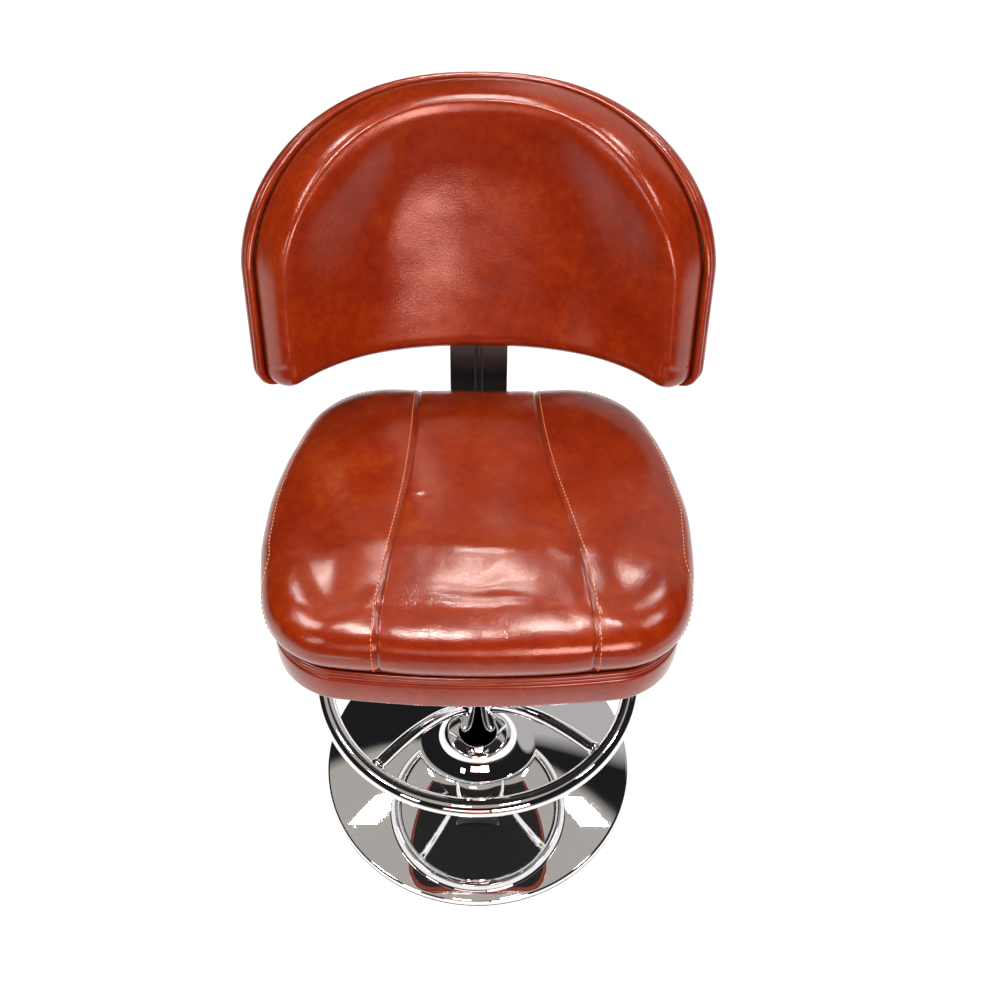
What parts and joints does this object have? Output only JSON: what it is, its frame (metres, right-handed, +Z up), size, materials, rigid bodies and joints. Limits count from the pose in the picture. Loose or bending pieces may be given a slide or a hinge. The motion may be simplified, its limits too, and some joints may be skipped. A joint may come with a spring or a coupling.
{
  "type": "casino stool",
  "caption": "Upholstered swivel stool with a wrapped back, crowned seat, gas-lift height lever, chrome column, foot ring and weighted trumpet base.",
  "frame": {"origin": "on the floor under the middle of the column", "axes": "+Z up; the sitter faces -Y, so the back is on the +Y side"},
  "size_m": [0.5244, 0.5207, 0.9316],
  "materials": {
    "chrome": "mirror-polished plating",
    "black_paint": "satin black powder coat",
    "steel": "bright zinc",
    "leather": "glossy two-tone cognac coated leather with a fine pebble grain",
    "foam": "open-cell foam",
    "plywood": "raw plywood",
    "rubber": "matt black",
    "plastic": "fine-textured black",
    "iron": "raw casting",
    "lining": "black non-woven lining"
  },
  "bodies": {
    "base": {"base_dome": "chrome", "foot_collar": "chrome", "column_tube": "chrome", "foot_ring": "chrome", "foot_arm_front_right": "chrome", "foot_arm_rear_right": "chrome", "foot_arm_rear_left": "chrome", "foot_arm_front_left": "chrome", "hub_bolts": "black_paint", "base_hub": "steel", "column_plug": "steel", "bearing_lower_race": "steel", "bearing_balls": "steel", "floor_ring": "rubber", "guide_bush": "plastic", "bearing_cage": "plastic", "base_weight": "iron"},
    "rod": {"piston_rod": "steel", "rod_clip": "steel", "rod_bumper": "rubber", "piston": "plastic", "bearing_upper_race": "steel"},
    "seat": {"lift_tube": "steel", "rod_seal": "rubber", "taper_socket": "black_paint", "mechanism_box": "black_paint", "seat_plate": "black_paint", "plate_bolts": "black_paint", "plate_tee_nuts": "steel", "lever_bracket": "black_paint", "lever_pin": "steel", "seat_board": "plywood", "seat_band": "leather", "seat_welt": "leather", "seat_foam": "foam", "seat_cover": "leather", "dust_cover": "lining", "back_bar": "black_paint", "bar_bolts": "black_paint", "bar_tee_nuts": "steel", "back_shell": "plywood", "back_foam": "foam", "back_cover": "leather", "back_welt": "leather", "back_rear_panel": "leather", "back_bolts": "black_paint", "back_tee_nuts": "steel"},
    "lever": {"height_lever": "steel", "lever_paddle": "plastic"},
    "valve": {"valve_pin": "steel"}
  },
  "joints": [
    {"name": "seat_swivel", "type": "hinge", "parent": "base", "child": "rod", "pos_m": [0, 0, 0.02], "axis": [0, 0, 1], "continuous": true},
    {"name": "seat_lift", "type": "slide", "parent": "rod", "child": "seat", "axis": [0, 0, 1], "range_m": [0, 0.11]},
    {"name": "lever_pull", "type": "hinge", "parent": "seat", "child": "lever", "pos_m": [-0.028, 0, 0.4568], "axis": [0, 1, 0], "range_deg": [0, 7], "stiffness_Nm_per_rad": 6, "springref_deg": -3.44},
    {"name": "valve_press", "type": "slide", "parent": "seat", "child": "valve", "axis": [0, 0, -1], "range_m": [0, 0.004]}
  ],
  "couplings": [
    {"joint": "valve_press", "follows": "lever_pull", "m_per_rad": 0.032}
  ]
}
